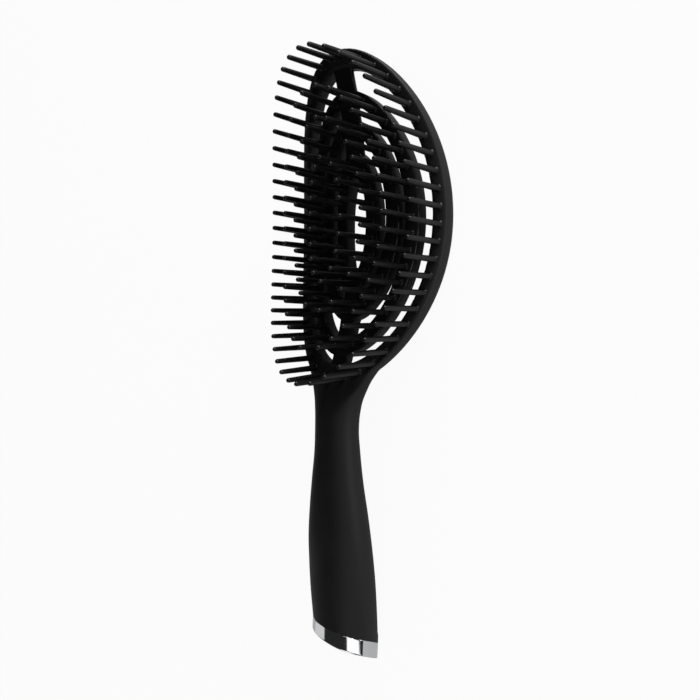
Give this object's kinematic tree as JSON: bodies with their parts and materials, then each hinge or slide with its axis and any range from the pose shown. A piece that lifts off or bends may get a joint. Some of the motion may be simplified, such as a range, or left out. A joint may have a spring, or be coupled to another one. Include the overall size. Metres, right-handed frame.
{
  "type": "vent brush",
  "caption": "Vent hair brush: a bowed open head of nested oval loops with rows of moulded pins, on a soft-touch handle with a chrome end band.",
  "frame": {"origin": "on the surface it lies on, under the middle of its bounding box", "axes": "+X across the head, +Y along the brush from handle to head, +Z the way the pins point, with the brush lying on its back"},
  "size_m": [0.0778, 0.2504, 0.0514],
  "materials": {
    "soft_touch": "soft touch",
    "moulded": "satin",
    "chrome": "polished"
  },
  "bodies": {
    "root": {"rim_and_handle": "soft_touch", "rim_pins_1": "moulded", "rim_pins_2": "moulded", "rim_pins_3": "moulded", "rim_pins_4": "moulded", "rim_pins_5": "moulded", "rim_pins_6": "moulded", "rim_pins_7": "moulded", "rim_pins_8": "moulded", "outer_loop": "moulded", "outer_loop_pins_1": "moulded", "outer_loop_pins_2": "moulded", "outer_loop_pins_3": "moulded", "outer_loop_pins_4": "moulded", "outer_loop_pins_5": "moulded", "outer_loop_pins_6": "moulded", "outer_loop_pins_7": "moulded", "outer_loop_pins_8": "moulded", "middle_loop": "moulded", "middle_loop_pins_1": "moulded", "middle_loop_pins_2": "moulded", "middle_loop_pins_3": "moulded", "middle_loop_pins_4": "moulded", "middle_loop_pins_5": "moulded", "middle_loop_pins_6": "moulded", "middle_loop_pins_7": "moulded", "middle_loop_pins_8": "moulded", "inner_loop": "moulded", "inner_loop_pins_1": "moulded", "inner_loop_pins_2": "moulded", "inner_loop_pins_3": "moulded", "inner_loop_pins_4": "moulded", "inner_loop_pins_5": "moulded", "end_band": "chrome", "end_plug": "moulded"}
  },
  "joints": []
}
